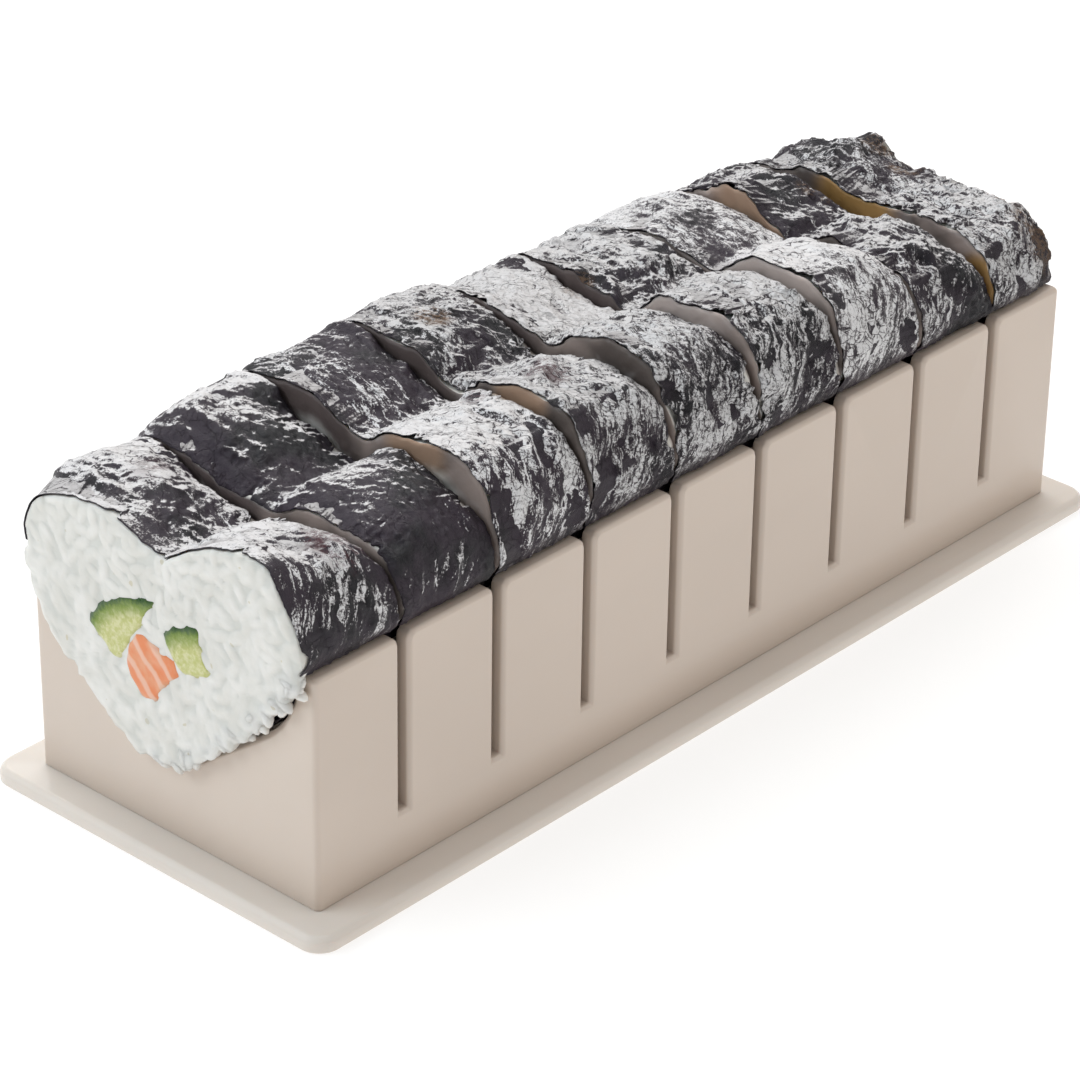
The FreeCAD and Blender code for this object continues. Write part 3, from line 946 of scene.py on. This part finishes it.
def makeRice(slice, material):
    look = riceLook
    front = slice["number"] == 1
    around = look["frontAround"] if front else look["around"]
    bed = GrainBed(slice["number"])
    walls = []
    for share, deeper in look["wallRings"]:
        loop = sectionLoop(slice, share, around)
        sides = outwards(loop)
        x = slice["start"] + (slice["end"] - slice["start"]) * share
        walls.append([(x, point - side * (look["inside"] + deeper)) for point, side in zip(loop, sides)])
    nearFace = look["faces"]["front" if front else "cut"]
    farFace = look["faces"]["back" if slice["number"] == slice["count"] else "cut"]
    walls[0] = [(slice["start"] + nearFace["rim"] + nearFace["round"], point) for _, point in walls[0]]
    walls[-1] = [(slice["end"] - farFace["rim"] - farFace["round"], point) for _, point in walls[-1]]
    if front:
        slab = swollenRim(walls[0], around, bed)
        walls = slab + [wall for wall in walls[1:] if wall[0][0] > slab[-1][0][0]]
    nearRim, farRim = [[point for _, point in walls[end]] for end in (0, -1)]
    count = look["frontRings"] if front else look["faceRings"]
    near, nearStain, nearHollow = faceRings(nearRim, slice["start"], -1, count, bed, nearFace)
    far, farStain, farHollow = faceRings(farRim, slice["end"], 1, look["faceRings"], bed, farFace)
    rings = near + walls[1:-1] + far[::-1]
    between = [[0.0] * around for _ in walls[1:-1]]
    marks = {"stainAndShade": nearStain + between + farStain[::-1], "hollow": nearHollow + between + farHollow[::-1]}
    bm = bmesh.new()
    growRings(bm, [[placed(x, point) for x, point in ring] for ring in rings], "poles", marks)
    if front:
        addLooseGrains(bm, nearRim, slice["start"])
    number = str(slice["number"])
    finishSkin(bm, "rice_" + number, material, "slice_" + number, "rice", "rice_core_" + number)


def swollenRim(wall, around, bed):
    # the first slab of rice: the front face's outline, carried back to the end wall's outside
    loop = frontLoop(around)
    sides = outwards(loop)
    looseness = [1 - smooth(heart["seat"] - 1, heart["seat"] + 2, point.y) for point in loop]
    x = wall[0][0]
    rims = []
    for depth in riceLook["slabDepths"]:
        ring = []
        for i, point in enumerate(loop):
            loose = looseness[i]
            lump = bed.height(point + sides[i] * 0.8) * 0.9
            lump += noise.noise(Vector((point.x, point.y, depth * 2)) / 2.2) * 0.5
            inside = wall[i][1].lerp(point, loose)
            ring.append((x + depth, inside + sides[i] * lump * loose * (1 - depth * 0.25)))
        rims.append(ring)
    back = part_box("mold_frame")[0].x / mm - riceLook["slabGap"]
    rims.append([(back, wall[i][1].lerp(point, looseness[i])) for i, point in enumerate(loop)])
    rims.append([(back + 0.05, point) for _, point in wall])
    return rims


def addLooseGrains(bm, rim, x):
    # whole grains that stand out round the lower rim of the front face
    look = riceLook
    dice = random.Random(7)
    stainAndShade = bm.verts.layers.float["stainAndShade"]
    low = [i for i, point in enumerate(rim) if point.y < heart["seat"] + 1 and point.x < look["grainsFrom"]]
    sides = outwards(rim)
    for _ in range(look["looseGrains"]):
        i = dice.choice(low)
        at = rim[i] + sides[i] * dice.uniform(-2.3, -0.7)
        made = bmesh.ops.create_icosphere(bm, subdivisions=2, radius=1)
        size = (dice.uniform(0.95, 1.15), look["grainLength"] * dice.uniform(0.75, 1), 1.1, 1)
        turn = Matrix.Rotation(dice.uniform(0, math.pi), 4, "X")
        turn = turn @ Matrix.Rotation(dice.uniform(-0.35, 0.35), 4, "Z")
        place = Matrix.Translation((x + dice.uniform(1.05, 1.9), at.x, at.y))
        matrix = Matrix.Scale(mm, 4) @ place @ turn @ Matrix.Diagonal(size)
        bmesh.ops.transform(bm, matrix=matrix, verts=made["verts"])
        for vertex in made["verts"]:
            vertex[stainAndShade] = 0.0
            for face in vertex.link_faces:
                face.smooth = True


# The filling sticks: outline of each section, across and up, and the stretch of it that is rind.
fillings = {
    "cucumber_left": {
        "outline": [(17.9, 40), (15.9, 43.5), (11.7, 47.1), (6.1, 49.7), (2.9, 50.2), (-0.3, 51.3),
                    (1.8, 48.4), (4, 44.4), (6.6, 40.6), (8.3, 37.4), (11.1, 35), (13.3, 36.7),
                    (15.4, 38.4)],
        "rind": 6, "slot": "cucumber"},
    "cucumber_right": {
        "outline": [(-1, 45.4), (-4, 47.8), (-10.1, 50.1), (-10.4, 47), (-11.3, 44), (-12.8, 41.2),
                    (-9.2, 39.7), (-5.5, 39.1), (-3.2, 41.1), (-1.6, 43.4)],
        "rind": 3, "slot": "cucumber"},
    "salmon": {
        "outline": [(5.6, 43.0), (7.9, 39.2), (8.4, 34.9), (6.5, 32.2), (3.9, 30.2), (0.7, 31.2),
                    (-1.6, 35.0), (-5.4, 38.5), (-4.2, 41.4), (-1.0, 41.6), (1.6, 42.6), (3.6, 43.6)],
        "rind": 2, "slot": "salmon"},
}
stickLook = {"around": 96, "endRings": 14, "proud": 0.1, "uneven": 0.12, "edgeRound": 0.45, "rindReach": 6.0}


def nearestOf(point, line):
    return min((point - other).length for other in line)


def makeStick(kind, slice, material):
    look = stickLook
    shape = fillings[kind]
    corners = [Vector(corner) for corner in shape["outline"]]
    loop = eased(evenly(curveThrough(corners + corners[:1]), look["around"] + 1)[:-1], 1)
    centre = sum(loop, Vector((0, 0))) / len(loop)
    rind = evenly(curveThrough(corners[:shape["rind"]]), 24)
    rings = []
    depths = []
    for end, facing in ((slice["start"], -1), (slice["end"], 1)):
        faces = []
        for step in range(look["endRings"]):
            share = 0.03 + 0.97 * step / (look["endRings"] - 1)
            bulge = look["edgeRound"] * smooth(0.75, 1.0, share) ** 2
            ring = []
            for point in loop:
                at = centre.lerp(point, share)
                uneven = noise.noise(Vector((at.x, at.y, end)) / 2.4) * look["uneven"]
                ring.append((end + facing * (look["proud"] - bulge - look["uneven"] + uneven), at))
            faces.append(ring)
        rings += faces if facing < 0 else faces[::-1]
    for ring in rings:
        depths.append([min(1.0, nearestOf(point, rind) / look["rindReach"]) for _, point in ring])
    bm = bmesh.new()
    growRings(bm, [[placed(x, point) for x, point in ring] for ring in rings], "poles", {"depth": depths})
    number = str(slice["number"])
    finishSkin(bm, kind + "_stick_" + number, material, "slice_" + number, shape["slot"], kind + "_" + number)


def makeRoll():
    skins = {
        "rice": riceFlesh("cookedRice"),
        "cucumber": cucumberFlesh("cucumberFlesh"),
        "salmon": salmonFlesh("salmonFlesh"),
    }
    for name, settings in noriLook["finishes"].items():
        skins[name] = noriSkin(name, settings)
    count = sum(name.startswith("rice_core_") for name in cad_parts)
    for number in range(1, count + 1):
        slice = readSlice(number, count)
        slice["crumple"] = Crumple(number * 7, noriLook["rough"][number - 1], noriLook["scales"][number - 1])
        makeNori(slice, skins[noriLook["finishOf"][number - 1]])
        makeRice(slice, skins["rice"])
        for kind, shape in fillings.items():
            makeStick(kind, slice, skins[shape["slot"]])
        print("slice", number, "made")


def makeMold():
    plastics = {
        "base_plate": mouldedPlastic("glossyPlate", (0.760, 0.695, 0.630), 0.17, 0.12),
        "mold_frame": mouldedPlastic("satinFrame", (0.655, 0.557, 0.477), 0.30, 0.5),
    }
    plastics["trough_insert"] = plastics["mold_frame"]
    for node, settings in plasticPieces.items():
        makePlasticPiece(node, settings, plastics[node])
    print("plate, frame and trough finished")


makeCamera()
makeLamps()
makeFloor()
print("camera, lamps and floor set")
makeMold()
makeRoll()
